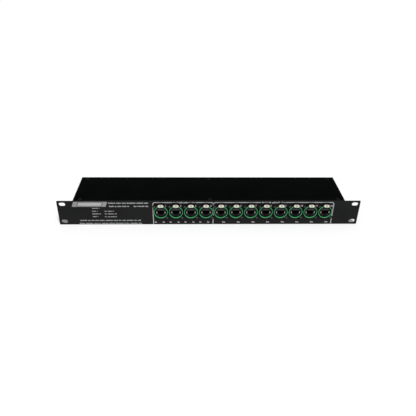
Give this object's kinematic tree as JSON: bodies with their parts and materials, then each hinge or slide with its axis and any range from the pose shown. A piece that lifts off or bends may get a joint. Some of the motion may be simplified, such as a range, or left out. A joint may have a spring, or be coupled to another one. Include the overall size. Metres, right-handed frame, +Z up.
{
  "type": "ethernet patch panel",
  "caption": "Rack panel with a shallow metal box behind it, carrying a row of round locking RJ45 receptacles, each with a green ring and a sprung release latch.",
  "frame": {"origin": "centre of the footprint of the whole object, on the surface it rests on, which is the underside of the box and of the panel", "axes": "+X along the width of the panel, to the right as seen from the front; +Y from the front of the panel into the rack; +Z up"},
  "size_m": [0.4826, 0.0886, 0.0437],
  "materials": {
    "panel_paint": "matt dark grey powder coat",
    "chassis_paint": "matt black powder coat",
    "cover_paint": "matt black powder coat",
    "receptacle_black": "black coated casting",
    "ring_green": "satin moulded plastic",
    "latch_nickel": "satin nickel plate",
    "jack_plastic": "moulded plastic",
    "board_green": "solder mask",
    "screw_black": "black zinc",
    "panel_print": "screen printed ink",
    "jack_metal": "bright shield spring",
    "contact_gold": "plated contact"
  },
  "bodies": {
    "chassis": {"front_panel": "panel_paint", "chassis_tray": "chassis_paint", "top_cover": "cover_paint", "circuit_board": "board_green", "board_screw_left": "screw_black", "board_screw_right": "screw_black", "cover_screw_front_centre": "screw_black", "cover_screw_front_left": "screw_black", "cover_screw_front_right": "screw_black", "cover_screw_rear_centre": "screw_black", "cover_screw_rear_left": "screw_black", "cover_screw_rear_right": "screw_black", "port_01_insert": "jack_plastic", "port_01_ring": "ring_green", "port_01_shell": "receptacle_black", "port_02_insert": "jack_plastic", "port_02_ring": "ring_green", "port_02_shell": "receptacle_black", "port_03_insert": "jack_plastic", "port_03_ring": "ring_green", "port_03_shell": "receptacle_black", "port_04_insert": "jack_plastic", "port_04_ring": "ring_green", "port_04_shell": "receptacle_black", "port_05_insert": "jack_plastic", "port_05_ring": "ring_green", "port_05_shell": "receptacle_black", "port_06_insert": "jack_plastic", "port_06_ring": "ring_green", "port_06_shell": "receptacle_black", "port_07_insert": "jack_plastic", "port_07_ring": "ring_green", "port_07_shell": "receptacle_black", "port_08_insert": "jack_plastic", "port_08_ring": "ring_green", "port_08_shell": "receptacle_black", "port_09_insert": "jack_plastic", "port_09_ring": "ring_green", "port_09_shell": "receptacle_black", "port_10_insert": "jack_plastic", "port_10_ring": "ring_green", "port_10_shell": "receptacle_black", "port_11_insert": "jack_plastic", "port_11_ring": "ring_green", "port_11_shell": "receptacle_black", "port_12_insert": "jack_plastic", "port_12_ring": "ring_green", "port_12_shell": "receptacle_black"},
    "latch_01": {"port_01_latch": "latch_nickel"},
    "latch_02": {"port_02_latch": "latch_nickel"},
    "latch_03": {"port_03_latch": "latch_nickel"},
    "latch_04": {"port_04_latch": "latch_nickel"},
    "latch_05": {"port_05_latch": "latch_nickel"},
    "latch_06": {"port_06_latch": "latch_nickel"},
    "latch_07": {"port_07_latch": "latch_nickel"},
    "latch_08": {"port_08_latch": "latch_nickel"},
    "latch_09": {"port_09_latch": "latch_nickel"},
    "latch_10": {"port_10_latch": "latch_nickel"},
    "latch_11": {"port_11_latch": "latch_nickel"},
    "latch_12": {"port_12_latch": "latch_nickel"}
  },
  "joints": [
    {"name": "latch_01_press", "type": "hinge", "parent": "chassis", "child": "latch_01", "pos_m": [-0.078, -0.03322, 0.03745], "axis": [1, 0, 0], "range_deg": [0, 6.5], "stiffness_Nm_per_rad": 0.002, "springref_deg": -8.59},
    {"name": "latch_02_press", "type": "hinge", "parent": "chassis", "child": "latch_02", "pos_m": [-0.054, -0.03322, 0.03745], "axis": [1, 0, 0], "range_deg": [0, 6.5], "stiffness_Nm_per_rad": 0.002, "springref_deg": -8.59},
    {"name": "latch_03_press", "type": "hinge", "parent": "chassis", "child": "latch_03", "pos_m": [-0.03, -0.03322, 0.03745], "axis": [1, 0, 0], "range_deg": [0, 6.5], "stiffness_Nm_per_rad": 0.002, "springref_deg": -8.59},
    {"name": "latch_04_press", "type": "hinge", "parent": "chassis", "child": "latch_04", "pos_m": [-0.006, -0.03322, 0.03745], "axis": [1, 0, 0], "range_deg": [0, 6.5], "stiffness_Nm_per_rad": 0.002, "springref_deg": -8.59},
    {"name": "latch_05_press", "type": "hinge", "parent": "chassis", "child": "latch_05", "pos_m": [0.018, -0.03322, 0.03745], "axis": [1, 0, 0], "range_deg": [0, 6.5], "stiffness_Nm_per_rad": 0.002, "springref_deg": -8.59},
    {"name": "latch_06_press", "type": "hinge", "parent": "chassis", "child": "latch_06", "pos_m": [0.042, -0.03322, 0.03745], "axis": [1, 0, 0], "range_deg": [0, 6.5], "stiffness_Nm_per_rad": 0.002, "springref_deg": -8.59},
    {"name": "latch_07_press", "type": "hinge", "parent": "chassis", "child": "latch_07", "pos_m": [0.066, -0.03322, 0.03745], "axis": [1, 0, 0], "range_deg": [0, 6.5], "stiffness_Nm_per_rad": 0.002, "springref_deg": -8.59},
    {"name": "latch_08_press", "type": "hinge", "parent": "chassis", "child": "latch_08", "pos_m": [0.09, -0.03322, 0.03745], "axis": [1, 0, 0], "range_deg": [0, 6.5], "stiffness_Nm_per_rad": 0.002, "springref_deg": -8.59},
    {"name": "latch_09_press", "type": "hinge", "parent": "chassis", "child": "latch_09", "pos_m": [0.114, -0.03322, 0.03745], "axis": [1, 0, 0], "range_deg": [0, 6.5], "stiffness_Nm_per_rad": 0.002, "springref_deg": -8.59},
    {"name": "latch_10_press", "type": "hinge", "parent": "chassis", "child": "latch_10", "pos_m": [0.138, -0.03322, 0.03745], "axis": [1, 0, 0], "range_deg": [0, 6.5], "stiffness_Nm_per_rad": 0.002, "springref_deg": -8.59},
    {"name": "latch_11_press", "type": "hinge", "parent": "chassis", "child": "latch_11", "pos_m": [0.162, -0.03322, 0.03745], "axis": [1, 0, 0], "range_deg": [0, 6.5], "stiffness_Nm_per_rad": 0.002, "springref_deg": -8.59},
    {"name": "latch_12_press", "type": "hinge", "parent": "chassis", "child": "latch_12", "pos_m": [0.186, -0.03322, 0.03745], "axis": [1, 0, 0], "range_deg": [0, 6.5], "stiffness_Nm_per_rad": 0.002, "springref_deg": -8.59}
  ]
}
